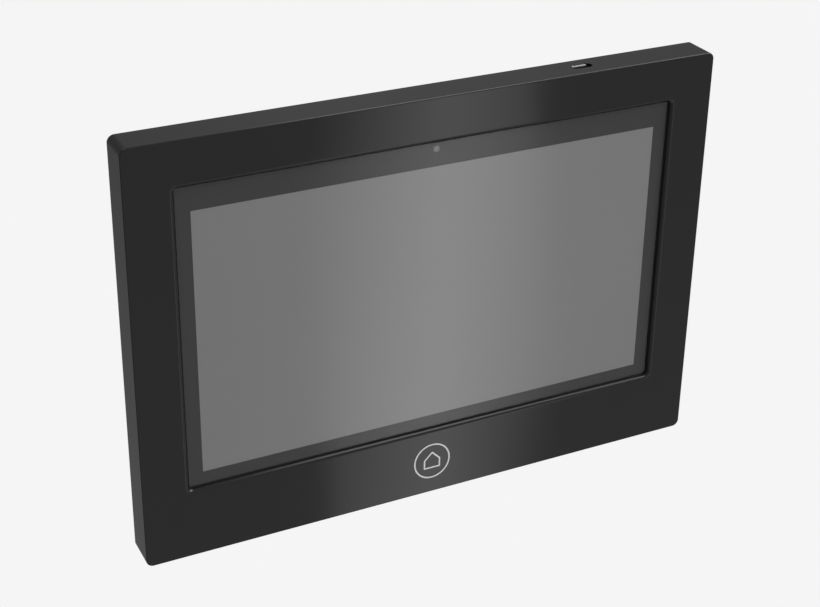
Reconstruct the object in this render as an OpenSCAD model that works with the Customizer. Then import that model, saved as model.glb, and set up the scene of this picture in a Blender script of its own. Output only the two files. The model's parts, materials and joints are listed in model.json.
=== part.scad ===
// Wall-hung smart display. X runs to the right, Z up and Y into the wall.
// The origin is the centre of the wall plate's screw pattern, on the wall.

/* [Screen] */
// Width of the screen's lit area
active_w = 222.72; // [185:0.01:268]
// Height of the screen's lit area
active_h = 125.28; // [104:0.01:151]
// Dark glass border at each side of the lit area
border_side = 7.39; // [6:0.01:10]
// Dark glass border above the lit area, which holds the camera
border_top = 12.08; // [10:0.01:16]
// Dark glass border below the lit area
border_bottom = 6.84; // [5.5:0.01:10]
// Thickness of the cover glass
glass_t = 1.1; // [0.7:0.1:1.4]
// How far the cover glass reaches behind the front plate
glass_overlap = 2.2; // [1.8:0.1:2.7]

/* [Body] */
// Front plate to the left and right of the glass
bezel_side = 21.25; // [17.5:0.01:30]
// Front plate above the glass
bezel_top = 20.6; // [17:0.1:30]
// Front plate below the glass
bezel_bottom = 34.2; // [32:0.1:45]
// Thickness of the front plate
front_t = 1.8; // [1.5:0.1:2.2]
// Thickness of the body's side walls
wall_t = 2; // [1.6:0.1:2.5]
// Radius of the body's outer corners
corner_r = 3.3; // [2.7:0.1:5]
// Radius of the body's front edge
edge_r = 0.5; // [0.2:0.1:0.8]
// Radius of the corners of the opening over the glass
opening_r = 2; // [1:0.1:4]
// Radius of the front edge of that opening
lip_r = 1.7; // [1.3:0.05:2.05]
// Width of the black seal that shows between that edge and the glass
seal_show = 0.6; // [0.5:0.05:0.9]
// Thickness of the rear cover
cover_t = 1.5; // [1.2:0.1:1.8]
// Room behind the main board for the parts on it
part_room = 2; // [1.9:0.1:5]

/* [Mark] */
// Radius of the ring printed below the screen
mark_r = 9.35; // [6:0.05:12]
// Width of the mark's lines
mark_line = 0.75; // [0.5:0.05:1]
// Depth that the mark is inlaid into the front plate
mark_t = 0.2; // [0.1:0.05:0.4]

/* [Slide switch] */
// Distance of the switch's slot from the middle of the top
switch_x = 74.7; // [60:0.1:90]
// Distance of the slot's centre behind the front face
switch_depth = 8.65; // [7.5:0.05:9.5]
// Length of the slot
slot_l = 10.5; // [9.2:0.1:12]
// Width of the slot
slot_w = 4.6; // [4:0.1:5.2]
// Length of the switch's knob
knob_l = 7.1; // [5.9:0.1:8.5]
// Thickness of the knob
knob_t = 1.2; // [1:0.1:1.6]

/* [Wall plate] */
// Width of the wall plate
plate_w = 196; // [190:1:206]
// Thickness of the wall plate
plate_t = 1.2; // [1:0.1:1.4]
// Distance between the wall screws, both ways
screw_pitch = 100; // [90:1:110]
// Wall plate above and below the wall screws
plate_edge = 12; // [10:0.5:14]
// Radius of the wall screw holes
screw_hole_r = 2.25; // [2:0.05:2.75]
// Width of each hook
hook_w = 9; // [7:0.5:12]
// Height of the hook's lip above its neck
lip_h = 4; // [3:0.5:5]
// Width of the cable opening in the wall plate
cable_w = 44; // [36:1:56]
// Height of the cable opening in the wall plate
cable_h = 42; // [40:1:46]

/* [Speakers] */
// Width of each speaker
speaker_w = 56; // [46:1:66]
// Height of each speaker
speaker_h = 18.5; // [15:0.5:19]
// Depth of each speaker, front to back
speaker_d = 8; // [6.5:0.5:8]
// Distance of each speaker from the middle
speaker_x = 84; // [75:1:90]

/* [Circuit boards] */
// Width of the main board
board_w = 124; // [103:1:140]
// Height of the main board
board_h = 62; // [58:1:64]
// Thickness of the main board
board_t = 1; // [0.8:0.1:1.2]

/* [Hidden] */
$fn = 48;

// Overlap that joins a piece's own features
weld = 0.2;
// Clearance of a loose piece in its place
loose = 0.15;
// How far a cut runs past the surface it opens
past = 1;

// Outline of the opening over the glass, and of the body
opening_w = active_w + 2 * border_side;
opening_h = active_h + border_top + border_bottom;
body_w = opening_w + 2 * bezel_side;
body_h = opening_h + bezel_top + bezel_bottom;
opening_z = (bezel_bottom - bezel_top) / 2;
active_z = opening_z + (border_bottom - border_top) / 2;
cavity_w = body_w - 2 * wall_t;
cavity_h = body_h - 2 * wall_t;

// Depths behind the front face of each layer of the screen
gasket_t = 0.3;
print_t = 0.1;
touch_t = 0.4;
lcd_gasket_t = 0.3;
lcd_t = 1.2;
diffuser_t = 0.4;
guide_t = 1.5;
reflector_t = 0.2;
tray_t = 0.5;
chassis_t = 0.8;
glass_s = front_t + gasket_t;
print_s = glass_s + glass_t;
touch_s = print_s + print_t;
lcd_gasket_s = touch_s + touch_t;
lcd_s = lcd_gasket_s + lcd_gasket_t;
diffuser_s = lcd_s + lcd_t;
guide_s = diffuser_s + diffuser_t;
reflector_s = guide_s + guide_t;
tray_s = reflector_s + reflector_t;
chassis_s = tray_s + tray_t;
chassis_back = chassis_s + chassis_t;

// Depths of the main board, the rear cover and the wall behind it
standoff_h = 1.4;
board_s = chassis_back + standoff_h;
board_back = board_s + board_t;
floor_s = board_back + part_room;
cover_s = floor_s + cover_t;
cover_back = cover_s + cover_t;
relief_s = floor_s - cover_t;
rim_proud = 0.4;
body_d = cover_back + rim_proud;
wall_gap = 0.3;
seat_d = body_d + wall_gap;

// Outlines of the glass, the panel and the tray around it
glass_w = opening_w + 2 * glass_overlap;
glass_h = opening_h + 2 * glass_overlap;
glass_r = opening_r + glass_overlap;
// Radius of the opening's front edge, limited by its plate, and the strip of plate that carries it
lip_edge = min(lip_r, front_t - 0.1);
lip_in = lip_edge + weld;
lip_reach = lip_edge + 0.6;
panel_side = 3.3;
panel_top = 3.5;
panel_bottom = 5.2;
panel_w = active_w + 2 * panel_side;
panel_h = active_h + panel_top + panel_bottom;
panel_z = active_z + (panel_top - panel_bottom) / 2;
panel_low = panel_z - panel_h / 2;
tray_wall = 0.4;
tray_w = panel_w + 2 * (loose + tray_wall);
tray_h = panel_h + 2 * (loose + tray_wall);
guide_short = 3;

// Screws: the small size holds boards, the large size holds the chassis and the cover
large_r = 0.95;
large_head_r = 1.9;
large_head_h = 0.9;
small_r = 0.75;
small_head_r = 1.4;
small_head_h = 0.5;
thread_gap = 0.05;
head_gap = 0.3;

// Bosses around the glass that carry the chassis
boss_r = 3;
boss_gap = 0.5;
chassis_margin = boss_gap + 2 * boss_r + 0.5;
chassis_w = glass_w + 2 * chassis_margin;
chassis_h = glass_h + 2 * chassis_margin;
boss_x = glass_w / 2 + boss_gap + boss_r;
boss_z = glass_h / 2 + boss_gap + boss_r;
chassis_places = [
    for (sx = [-1, 1], sz = [-1, 1]) [sx * boss_x, opening_z + sz * boss_z],
    for (sx = [-1, 1], sz = [-1, 1]) [sx * boss_x / 3, opening_z + sz * boss_z]
];
chassis_screw_l = 4.5;

// Bosses in the body's corners and edges that carry the rear cover
cover_boss_inset = 4.4;
cover_boss_r = 2.8;
cover_places = [
    for (sx = [-1, 1], sz = [-1, 1])
        [sx * (cavity_w / 2 - cover_boss_inset), sz * (cavity_h / 2 - cover_boss_inset)],
    for (sx = [-1, 1]) [sx * 45, cavity_h / 2 - cover_boss_inset],
    for (sx = [-1, 1]) [sx * 30, -cavity_h / 2 + cover_boss_inset]
];
cover_screw_l = 5.5;

// Wall plate, its hooks and the pocket around it
plate_h = screw_pitch + 2 * plate_edge;
plate_s = seat_d - plate_t;
pocket_gap = 1;
hook_clear = 0.2;
hang_gap = 0.05;
hook_side_gap = 0.5;
lift = lip_h + 1;
hook_x = plate_w / 2 - 12;
hook_places = [for (sx = [-1, 1], z = [plate_h / 2 - 20, -plate_h / 2 + 28]) [sx * hook_x, z]];
lip_s = floor_s - hook_clear - plate_t;
pocket_w = plate_w + 2 * pocket_gap;
pocket_top = plate_h / 2 + pocket_gap;
pocket_low = -plate_h / 2 - lift - pocket_gap;
pocket_z = (pocket_top + pocket_low) / 2;
pocket_h = pocket_top - pocket_low;
plate_r = 6;
wall_screw_places = [for (sx = [-1, 1], sz = [-1, 1]) [sx * screw_pitch / 2, sz * screw_pitch / 2]];
relief_r = 5.5;
pan_rim = 3;
cable_z = -27;
inlet_w = cable_w - 4;
inlet_h = cable_h - lift - 4;
inlet_z = cable_z + lift / 2 - 1.5;
inlet_r = 2;

// Main board, behind the chassis
standoff_r = 2;
board_top = 40;
board_z = board_top - board_h / 2;
board_low = board_top - board_h;
board_places = [
    for (sx = [-1, 1], sz = [-1, 1]) [sx * (board_w / 2 - 4), board_z + sz * (board_h / 2 - 4)]
];
processor_size = 14;
processor_t = 1.1;
processor_place = [-22, 20];
heat_pad_t = 0.2;
spreader_t = 0.2;
flex_t = 0.12;
flex_s = chassis_back + 0.15;
plug_s = flex_s + flex_t;
plug_t = board_s - plug_s;
display_flex_x = -40;
display_flex_w = 24;
touch_flex_x = 34;
touch_flex_w = 10;
camera_flex_w = 5;
camera_flex_window = 3;
switch_flex_w = 4;
flex_window_h = 3.4;
flex_window_z = panel_low - 2.6;
edge_plug_x = board_w / 2 - 5;
switch_plug_z = board_top - 14;
speaker_plug_z = 0;
speaker_plug_w = 5;
antenna_plug_z = board_top - 10;
lead_t = 0.8;
lead_w = 1.8;
coax_r = 0.55;
coax_s = board_back + 0.8;

// Camera in the border above the screen
camera_z = opening_z + opening_h / 2 - 3.9;
camera_hole_r = 1.5;
camera_board_size = 8;
camera_board_t = 0.6;
camera_barrel_r = 2.9;
camera_s = touch_s;
camera_board_s = chassis_s - camera_board_t;

// Slide switch in the top wall
end_gap = 0.95;
knob_back_gap = 0.45;
switch_travel = slot_l - knob_l - 2 * end_gap;
knob_depth = switch_depth + slot_w / 2 - knob_back_gap - knob_t / 2;
knob_x = switch_x - slot_l / 2 + end_gap + knob_l / 2;
flange_cover = 0.5;
flange_t = 0.7;
flange_gap = 0.2;
flange_l = slot_l + 2 * flange_cover + switch_travel;
flange_w = slot_w + 2 * flange_cover;
flange_top = cavity_h / 2 - flange_gap;
stem_l = 1.6;
stem_w = 1;
stem_h = 1.3;
case_l = 8.6;
case_w = 3.4;
case_h = 1.6;
case_wall = 0.3;
case_top = flange_top - flange_t - 0.2;
switch_board_t = 0.8;
switch_board_w = 5.6;
switch_board_top = case_top - case_h;
switch_post_r = 1.7;
switch_post_x = (flange_l + switch_travel) / 2 + switch_post_r + 0.4;
switch_board_l = 2 * (switch_post_x + switch_post_r + 0.3);
switch_screw_l = 2.4;

// Speakers and microphone behind the bottom wall
speaker_gasket_t = 0.6;
speaker_s = 4.4;
speaker_z = -cavity_h / 2 + speaker_gasket_t;
speaker_mid = speaker_s + speaker_d / 2;
sound_hole_r = 0.8;
sound_holes = 9;
sound_pitch = 3.2;
mic_board_w = 12;
mic_board_t = 0.6;
mic_hole_r = 0.5;
mic_d = 3;
mic_h = 1;

// Antennas on the inside of the left and right walls
antenna_t = 0.3;
antenna_w = 8;
antenna_l = 42;
antenna_s = coax_s + 0.6 - antenna_w;

// Outline of a rectangle with round corners, centred
module rounded(w, h, r) {
    square([w - 2 * r, h], center = true);
    square([w, h - 2 * r], center = true);
    for (sx = [-1, 1], sz = [-1, 1])
        translate([sx * (w / 2 - r), sz * (h / 2 - r)]) circle(r = r);
}

// Outline of a slot with round ends, along X
module stadium(l, w) {
    square([l - w, w], center = true);
    for (sx = [-1, 1])
        translate([sx * (l - w) / 2, 0]) circle(r = w / 2);
}

// A straight line of the mark between two points, with round ends
module stroke(a, b) {
    run = b - a;
    translate(a) rotate(atan2(run[1], run[0])) {
        translate([0, -mark_line / 2]) square([norm(run), mark_line]);
        circle(r = mark_line / 2);
        translate([norm(run), 0]) circle(r = mark_line / 2);
    }
}

// A front-view outline made solid, from a depth behind the front face
module layer(s, t) {
    translate([0, s + t - seat_d, 0]) rotate([90, 0, 0]) linear_extrude(t) children();
}

// A top-view outline (X, depth) made solid, from a height upwards
module slab(z, t) {
    translate([0, -seat_d, z]) linear_extrude(t) children();
}

// A side-view outline (depth, height) made solid, centred on an X and w wide
module strip(x, w) {
    translate([x - w / 2, -seat_d, 0]) rotate([90, 0, 90]) linear_extrude(w) children();
}

// A profile of (distance from the corner's centre, depth) carried around a rounded rectangle
module around(w, h, r) {
    translate([0, -seat_d, 0]) rotate([-90, 0, 0])
        for (turn = [0:3])
            rotate([0, 0, 90 * turn]) {
                side = turn % 2 == 0 ? w : h;
                run = (turn % 2 == 0 ? h : w) - 2 * r;
                translate([side / 2 - r, run / 2, 0]) rotate_extrude(angle = 90) children();
                translate([side / 2 - r, run / 2, 0]) rotate([90, 0, 0]) linear_extrude(run) children();
            }
}

// Round pieces along the depth, one at each place
module posts(places, s, t, r) {
    for (p = places)
        translate([p[0], s - seat_d, p[1]]) rotate([-90, 0, 0]) cylinder(r = r, h = t);
}

// Screws driven from the back, with their heads on a seat at depth s
module screws(places, s, r, l, head_r, head_h) {
    for (p = places)
        translate([p[0], s - seat_d, p[1]]) {
            rotate([90, 0, 0]) cylinder(r = r, h = l);
            difference() {
                rotate([-90, 0, 0]) cylinder(r = head_r, h = head_h);
                translate([0, head_h, 0]) cube([head_r * 1.2, head_h, 0.4], center = true);
                translate([0, head_h, 0]) cube([0.4, head_h, head_r * 1.2], center = true);
            }
        }
}

// Outline of the mark: a ring around a plain house
module mark_outline() {
    eaves = mark_r * 0.42;
    ridge = mark_r * 0.5;
    base = -mark_r * 0.38;
    shoulder = mark_r * 0.08;
    difference() {
        circle(r = mark_r);
        circle(r = mark_r - mark_line);
    }
    stroke([-eaves, base], [eaves, base]);
    stroke([-eaves, base], [-eaves, shoulder]);
    stroke([eaves, base], [eaves, shoulder]);
    stroke([-eaves, shoulder], [0, ridge]);
    stroke([eaves, shoulder], [0, ridge]);
}

module mark_place() {
    translate([0, -body_h / 2 + bezel_bottom / 2]) mark_outline();
}

module outer_profile() {
    translate([corner_r - wall_t, edge_r]) square([wall_t, body_d - edge_r]);
    translate([corner_r - wall_t, 0]) square([wall_t - edge_r, body_d]);
    translate([corner_r - edge_r, edge_r]) circle(r = edge_r);
}

module opening_profile() {
    translate([opening_r, lip_edge]) square([lip_reach, front_t - lip_edge]);
    translate([opening_r + lip_edge, 0]) square([lip_reach - lip_edge, front_t]);
    intersection() {
        translate([opening_r + lip_edge, lip_edge]) circle(r = lip_edge);
        translate([opening_r, 0]) square([lip_in, lip_edge + weld / 2]);
    }
}

// Short ribs that hold the edge of the glass in place
module glass_ribs() {
    rib_t = 0.9;
    rib_l = 14;
    rib_s = front_t - weld;
    rib_h = glass_s + glass_t - rib_s;
    layer(rib_s, rib_h) translate([0, opening_z])
        for (side = [-1, 1]) {
            for (z = [-1, 1] * glass_h / 4)
                translate([side * (glass_w / 2 + loose + rib_t / 2), z])
                    square([rib_t, rib_l], center = true);
            for (x = [-1, 1] * glass_w / 4)
                translate([x, side * (glass_h / 2 + loose + rib_t / 2)])
                    square([rib_l, rib_t], center = true);
        }
}

module switch_posts(r, low, high) {
    for (sx = [-1, 1])
        translate([switch_x + sx * switch_post_x, switch_depth - seat_d, low])
            cylinder(r = r, h = high - low);
}

module sound_hole_row() {
    for (side = [-1, 1], i = [0:sound_holes - 1])
        translate([
            side * speaker_x + (i - (sound_holes - 1) / 2) * sound_pitch,
            speaker_mid - seat_d,
            -body_h / 2 - past
        ]) cylinder(r = sound_hole_r, h = wall_t + 2 * past);
}

module front_frame() {
    color("#2b2b2c") difference() {
        union() {
            around(body_w, body_h, corner_r) outer_profile();
            layer(0, front_t) difference() {
                rounded(body_w - wall_t, body_h - wall_t, corner_r - wall_t / 2);
                translate([0, opening_z])
                    rounded(opening_w + 2 * lip_in, opening_h + 2 * lip_in, opening_r + lip_in);
            }
            translate([0, 0, opening_z]) around(opening_w, opening_h, opening_r) opening_profile();
            glass_ribs();
        }
        layer(-past, mark_t + past) mark_place();
        slab(cavity_h / 2 - past, wall_t + 2 * past) translate([switch_x, switch_depth])
            stadium(slot_l, slot_w);
        sound_hole_row();
        translate([0, speaker_mid - seat_d, -body_h / 2 - past])
            cylinder(r = mic_hole_r, h = wall_t + 2 * past);
    }
}

// Screw posts fixed behind the front plate and below the top wall
module frame_posts() {
    color("#2b2b2c") difference() {
        union() {
            posts(chassis_places, front_t, chassis_s - front_t, boss_r);
            posts(cover_places, front_t, cover_s - front_t, cover_boss_r);
            switch_posts(switch_post_r, switch_board_top, cavity_h / 2);
        }
        posts(chassis_places, chassis_s - chassis_screw_l, chassis_screw_l + past, large_r + thread_gap);
        posts(cover_places, cover_s - cover_screw_l, cover_screw_l + past, large_r + thread_gap);
        switch_posts(small_r + thread_gap, switch_board_top - past, switch_board_top + switch_screw_l);
    }
}

module front_mark() {
    color("#e4e4e4") layer(0, mark_t) mark_place();
}

module glass_gasket() {
    color("#0c0c0c") layer(front_t, gasket_t) translate([0, opening_z]) difference() {
        rounded(glass_w - 0.4, glass_h - 0.4, glass_r - 0.2);
        rounded(opening_w - 2 * seal_show, opening_h - 2 * seal_show, opening_r / 2);
    }
}

module cover_glass() {
    color("#5a5c5e", 0.5) layer(glass_s, glass_t) translate([0, opening_z])
        rounded(glass_w, glass_h, glass_r);
}

module border_print() {
    color("#3a3b3c") layer(print_s, print_t) difference() {
        translate([0, opening_z]) rounded(glass_w - 0.6, glass_h - 0.6, glass_r - 0.3);
        translate([0, active_z]) square([active_w, active_h], center = true);
        translate([0, camera_z]) circle(r = camera_hole_r);
    }
}

module bond_film() {
    color("#9aa0a4", 0.5) layer(print_s, print_t) translate([0, active_z])
        square([active_w, active_h], center = true);
}

module touch_sensor() {
    color("#6c7276") layer(touch_s, touch_t) translate([0, panel_z])
        square([panel_w, panel_h], center = true);
}

module lcd_gasket() {
    rim = 2;
    color("#161616") layer(lcd_gasket_s, lcd_gasket_t) translate([0, panel_z]) difference() {
        square([panel_w, panel_h], center = true);
        square([panel_w - 2 * rim, panel_h - 2 * rim], center = true);
    }
}

module lcd_cell() {
    color("#4c4f52") layer(lcd_s, lcd_t) translate([0, panel_z]) square([panel_w, panel_h], center = true);
}

module diffuser_sheet() {
    color("#eeeeee") layer(diffuser_s, diffuser_t) translate([0, panel_z])
        square([panel_w, panel_h], center = true);
}

module light_guide() {
    color("#dfe8ea") layer(guide_s, guide_t)
        translate([0, panel_z + guide_short / 2]) square([panel_w, panel_h - guide_short], center = true);
}

module reflector_sheet() {
    color("#f4f4f4") layer(reflector_s, reflector_t) translate([0, panel_z])
        square([panel_w, panel_h], center = true);
}

// A narrow board along the guide's lower edge, with a row of lamps that face it
module led_strip() {
    strip_t = 0.8;
    lamp_t = 0.9;
    lamp_l = 3;
    lamps = 24;
    pitch = (panel_w - 12) / lamps;
    color("#e9e4c8") {
        layer(guide_s, guide_t) translate([0, panel_low + loose + strip_t / 2])
            square([panel_w - 4, strip_t], center = true);
        for (i = [0:lamps - 1])
            layer(guide_s + 0.2, guide_t - 0.4)
                translate([(i - (lamps - 1) / 2) * pitch, panel_low + loose + strip_t + lamp_t / 2])
                    square([lamp_l, lamp_t], center = true);
    }
}

module backlight_tray() {
    color("#9b9d9f") difference() {
        layer(lcd_s, tray_s + tray_t - lcd_s) translate([0, panel_z]) square([tray_w, tray_h], center = true);
        layer(lcd_s - past, tray_s - lcd_s + past)
            translate([0, panel_z]) square([panel_w + 2 * loose, panel_h + 2 * loose], center = true);
        layer(lcd_s - past, lcd_t + past)
            translate([display_flex_x, panel_low - 2]) square([display_flex_w + 2, 5], center = true);
    }
}

// Steel sheet that carries the panel and the boards, with windows for the flat cables
module chassis() {
    color("#8d9093") difference() {
        layer(chassis_s, chassis_t) translate([0, opening_z]) rounded(chassis_w, chassis_h, boss_r);
        posts(chassis_places, chassis_s - past, chassis_t + 2 * past, large_r + 0.15);
        posts(board_places, chassis_s - past, chassis_t + 2 * past, small_r + thread_gap);
        layer(chassis_s - past, chassis_t + 2 * past) {
            translate([0, camera_z]) square([camera_flex_w + 1, camera_flex_window], center = true);
            translate([display_flex_x, flex_window_z])
                square([display_flex_w + 2, flex_window_h], center = true);
            translate([touch_flex_x, flex_window_z]) square([touch_flex_w + 2, flex_window_h], center = true);
        }
    }
}

module chassis_screws() {
    color("#b8babc")
        screws(chassis_places, chassis_back, large_r, chassis_screw_l, large_head_r, large_head_h);
}

module board_standoffs() {
    color("#c9a85c") difference() {
        posts(board_places, chassis_back, standoff_h, standoff_r);
        posts(board_places, chassis_back - past, standoff_h + 2 * past, small_r + thread_gap);
    }
}

module mainboard() {
    color("#1d5a38") layer(board_s, board_t) difference() {
        translate([0, board_z]) rounded(board_w, board_h, 2);
        for (p = board_places)
            translate(p) circle(r = small_r + 0.15);
    }
}

module board_screws() {
    color("#c4c6c8")
        screws(board_places, board_back, small_r, board_t + standoff_h + chassis_t * 0.6, small_head_r, small_head_h);
}

module processor() {
    color("#202224") layer(board_back, processor_t)
        translate(processor_place) square([processor_size, processor_size], center = true);
}

module memory_chips() {
    color("#26282a") layer(board_back, 0.9)
        for (z = [12, 28])
            translate([processor_place[0] - 18, z]) square([9, 11], center = true);
}

module radio_shield() {
    can_h = 1.6;
    can_t = 0.2;
    color("#c2c5c8") translate([28, 0, 20]) difference() {
        layer(board_back, can_h) square([22, 18], center = true);
        layer(board_back - past, can_h - can_t + past)
            square([22 - 2 * can_t, 18 - 2 * can_t], center = true);
    }
}

module power_parts() {
    color("#3b3d40") {
        layer(board_back, 1.7) for (x = [26, 36]) translate([x, -12]) square([6, 6], center = true);
        layer(board_back, 1.5) for (x = [44, 50, 56]) translate([x, -2]) square([3, 5], center = true);
        layer(board_back, 0.8) for (x = [-56:6:-32]) translate([x, -4]) square([3, 1.6], center = true);
    }
}

// Plugs on the board's front for the flat cables, and on its back for the antennas
module board_connectors() {
    color("#e6e2d6") {
        layer(plug_s, plug_t) {
            translate([display_flex_x, board_low + 3]) square([display_flex_w, 3.2], center = true);
            translate([touch_flex_x, board_low + 3]) square([touch_flex_w, 3.2], center = true);
            translate([0, board_top - 2.4]) square([camera_flex_w + 3, 2.8], center = true);
            translate([edge_plug_x, switch_plug_z]) square([6, switch_flex_w + 2], center = true);
        }
        layer(board_s - plug_t, plug_t)
            for (side = [-1, 1])
                translate([side * edge_plug_x, speaker_plug_z])
                    square([speaker_plug_w, speaker_plug_w], center = true);
        for (side = [-1, 1])
            translate([side * edge_plug_x, 0, antenna_plug_z]) difference() {
                layer(board_back, 2 * (coax_s - board_back)) square([4, 4], center = true);
                translate([0, coax_s - seat_d, 0]) rotate([0, side * 90, 0])
                    cylinder(r = coax_r + thread_gap, h = 5);
            }
    }
}

// Terminal for the two supply wires, over the inlet, with its mouths facing down
module power_socket() {
    socket_w = 11;
    socket_h = 8;
    socket_t = 3;
    mouth_r = 0.9;
    socket_z = board_low + 6;
    color("#3f6f4a") difference() {
        layer(board_back, socket_t) translate([0, socket_z]) square([socket_w, socket_h], center = true);
        for (x = [-1, 1] * socket_w / 4)
            translate([x, board_back + socket_t / 2 - seat_d, socket_z - socket_h / 2 - past])
                cylinder(r = mouth_r, h = 6);
        layer(board_back + socket_t - 0.5, past)
            for (x = [-1, 1] * socket_w / 4)
                translate([x, socket_z + 1]) circle(r = 1.4);
    }
}

module heat_pad() {
    color("#a9c4d4") layer(board_back + processor_t, heat_pad_t)
        translate(processor_place) square([processor_size - 2, processor_size - 2], center = true);
}

module heat_spreader() {
    color("#b9bcc0") layer(board_back + processor_t + heat_pad_t, spreader_t)
        translate(processor_place) rounded(34, 30, 2);
}

// A flat cable from the panel's lower edge, through the chassis and up to the main board
module panel_flex(x, w, start_s, start_z, out_z) {
    top_z = board_low + 5;
    strip(x, w) {
        translate([start_s, out_z]) square([flex_t, start_z - out_z]);
        translate([start_s, out_z]) square([flex_s + flex_t - start_s, flex_t]);
        translate([flex_s, out_z]) square([flex_t, top_z - out_z]);
    }
}

module display_flex() {
    start_s = lcd_s + lcd_t / 2;
    color("#b5793a") panel_flex(display_flex_x, display_flex_w, start_s, panel_low, panel_low - 2.4);
}

module touch_flex() {
    start_s = touch_s + touch_t - flex_t;
    color("#a86f36") panel_flex(touch_flex_x, touch_flex_w, start_s, panel_low, panel_low - 3.4);
}

module camera_flex() {
    color("#b5793a") strip(0, camera_flex_w) {
        translate([chassis_s, camera_z - 1]) square([flex_s + flex_t - chassis_s, flex_t]);
        translate([flex_s, board_top - 3]) square([flex_t, camera_z - board_top + 2]);
    }
}

module switch_flex() {
    half = switch_flex_w / 2;
    top_z = switch_board_top - switch_board_t;
    color("#b5793a") layer(flex_s, flex_t) {
        translate([switch_x - half, switch_plug_z - half])
            square([switch_flex_w, top_z - switch_plug_z + half]);
        translate([edge_plug_x, switch_plug_z - half]) square([switch_x - edge_plug_x, switch_flex_w]);
    }
}

// A flat pair of wires from each speaker, up to the edge of the main board
module speaker_leads() {
    lead_x = board_w / 2 + 10;
    lead_s = board_s - plug_t / 2 - lead_t / 2;
    plug_edge = edge_plug_x + speaker_plug_w / 2;
    outer_edge = lead_x + lead_w / 2;
    color("#202020")
        for (side = [-1, 1])
            layer(lead_s, lead_t) {
                translate([side * lead_x - lead_w / 2, speaker_z + speaker_h])
                    square([lead_w, speaker_plug_z - speaker_z - speaker_h + lead_w / 2]);
                translate([side * (outer_edge + plug_edge) / 2, speaker_plug_z])
                    square([outer_edge - plug_edge, lead_w], center = true);
            }
}

// A straight coaxial lead from each antenna to its plug on the main board
module antenna_leads() {
    color("#5b5d60")
        for (side = [-1, 1])
            translate([side * edge_plug_x, coax_s - seat_d, antenna_plug_z])
                rotate([0, side * 90, 0]) cylinder(r = coax_r, h = cavity_w / 2 - antenna_t - edge_plug_x);
}

module camera_board() {
    color("#1c3f63") layer(camera_board_s, camera_board_t)
        translate([0, camera_z]) square([camera_board_size, camera_board_size], center = true);
}

module camera_barrel() {
    color("#141414") difference() {
        posts([[0, camera_z]], camera_s, camera_board_s - camera_s, camera_barrel_r);
        posts([[0, camera_z]], camera_s - past, past + 1.2, camera_hole_r);
    }
}

module camera_lens() {
    color("#7d8286") posts([[0, camera_z]], camera_s + 0.2, 1, camera_hole_r);
}

// A closed speaker box with a driver cavity that opens on its lower face
module speaker(side) {
    mouth_l = sound_pitch * (sound_holes - 1) + 3;
    mouth_w = 4;
    color("#1a1a1b") translate([side * speaker_x, 0, 0]) difference() {
        translate([-speaker_w / 2, speaker_s - seat_d, speaker_z]) cube([speaker_w, speaker_d, speaker_h]);
        slab(speaker_z - past, past + 3) translate([0, speaker_mid])
            square([mouth_l, mouth_w], center = true);
    }
}

module speaker_gasket(side) {
    mouth_l = sound_pitch * (sound_holes - 1) + 3;
    mouth_w = 4;
    rim = 1.2;
    color("#2e2e2e") slab(-cavity_h / 2, speaker_gasket_t) translate([side * speaker_x, speaker_mid])
        difference() {
        square([mouth_l + 2 * rim, mouth_w + 2 * rim], center = true);
        square([mouth_l, mouth_w], center = true);
    }
}

module speaker_left() speaker(-1);

module speaker_right() speaker(1);

module speaker_gasket_left() speaker_gasket(-1);

module speaker_gasket_right() speaker_gasket(1);

module mic_board() {
    color("#1d5a38") slab(-cavity_h / 2, mic_board_t) translate([0, speaker_mid]) difference() {
        square([mic_board_w, 6], center = true);
        circle(r = mic_hole_r);
    }
}

module microphone() {
    color("#c8b25a") slab(-cavity_h / 2 + mic_board_t, mic_h) translate([0, speaker_mid])
        square([mic_d + 1, mic_d], center = true);
}

module antenna(side) {
    inset = side < 0 ? -cavity_w / 2 : cavity_w / 2 - antenna_t;
    color("#c08a3e") translate([inset, antenna_s - seat_d, antenna_plug_z - antenna_l / 2])
        cube([antenna_t, antenna_w, antenna_l]);
}

module antenna_left() antenna(-1);

module antenna_right() antenna(1);

module switch_board() {
    color("#1d5a38") slab(switch_board_top - switch_board_t, switch_board_t)
        translate([switch_x, switch_depth]) difference() {
        square([switch_board_l, switch_board_w], center = true);
        for (sx = [-1, 1])
            translate([sx * switch_post_x, 0]) circle(r = small_r + 0.15);
    }
}

// Case of the switch, hollow, with a slot in its top for the knob's stem
module switch_case() {
    color("#b9bbbd") difference() {
        slab(switch_board_top, case_h) translate([switch_x, switch_depth])
            square([case_l, case_w], center = true);
        slab(switch_board_top + case_wall, case_h - 2 * case_wall)
            translate([switch_x, switch_depth])
                square([case_l - 2 * case_wall, case_w - 2 * case_wall], center = true);
        slab(case_top - case_wall - weld, case_wall + weld + past)
            translate([switch_x, switch_depth])
                square([stem_l + switch_travel + 2 * loose, stem_w + 2 * loose], center = true);
    }
}

module switch_screws() {
    color("#c4c6c8")
        for (sx = [-1, 1])
            translate([switch_x + sx * switch_post_x, switch_depth - seat_d, switch_board_top - switch_board_t]) {
                cylinder(r = small_r, h = switch_board_t + switch_screw_l - 0.4);
                translate([0, 0, -small_head_h]) cylinder(r = small_head_r, h = small_head_h);
            }
}

// Knob: the bar in the slot, the flange below the wall and the stem in the case
module switch_knob() {
    top = body_h / 2 - 0.1;
    rest_x = switch_x - switch_travel / 2;
    color("#aeb0b2") {
        slab(flange_top - weld, top - flange_top + weld) translate([knob_x, knob_depth])
            rounded(knob_l, knob_t, 0.3);
        slab(flange_top - flange_t, flange_t) translate([rest_x, switch_depth])
            square([flange_l, flange_w], center = true);
        slab(flange_top - flange_t - stem_h, stem_h + weld) translate([rest_x, switch_depth])
            square([stem_l, stem_w], center = true);
    }
}

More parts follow.
